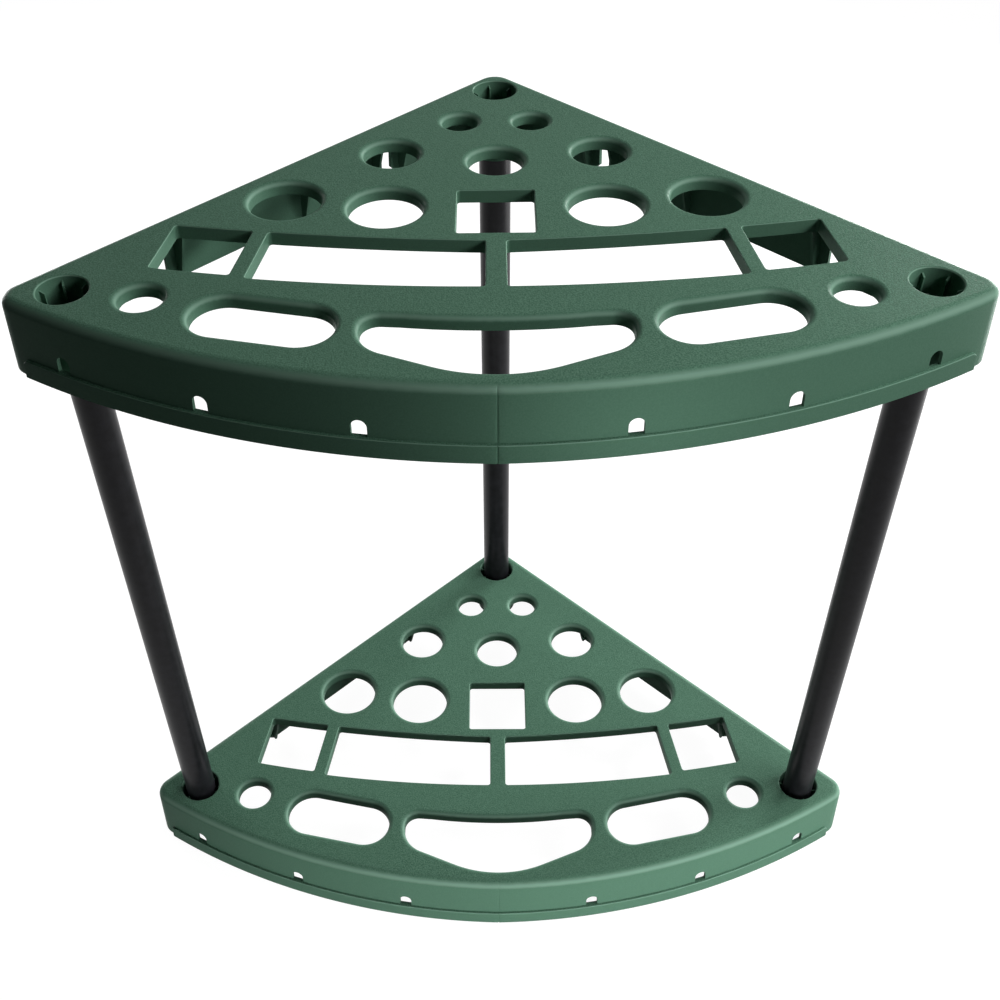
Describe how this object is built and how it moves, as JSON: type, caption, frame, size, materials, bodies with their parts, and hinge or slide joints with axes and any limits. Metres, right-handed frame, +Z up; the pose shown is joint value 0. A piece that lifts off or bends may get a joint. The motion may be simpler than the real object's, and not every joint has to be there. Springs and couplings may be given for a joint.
{
  "type": "garden tool rack",
  "caption": "Freestanding corner rack for long-handled garden tools: a lower and an upper quarter-round tray with round, square and slotted openings, held apart by upright tubes.",
  "frame": {"origin": "on the floor under the centre of the rack's bounding box", "axes": "+Z up, the curved front edges face -Y, the square back corner points to +Y, and the rack is symmetric left to right about X = 0"},
  "size_m": [0.6894, 0.462, 0.638],
  "materials": {
    "tray": "dark green moulded resin with a soft satin grain",
    "tube": "satin black"
  },
  "bodies": {
    "root": {"lower_tray": "tray", "upper_tray": "tray", "left_tube": "tube", "right_tube": "tube", "back_tube": "tube"}
  },
  "joints": []
}
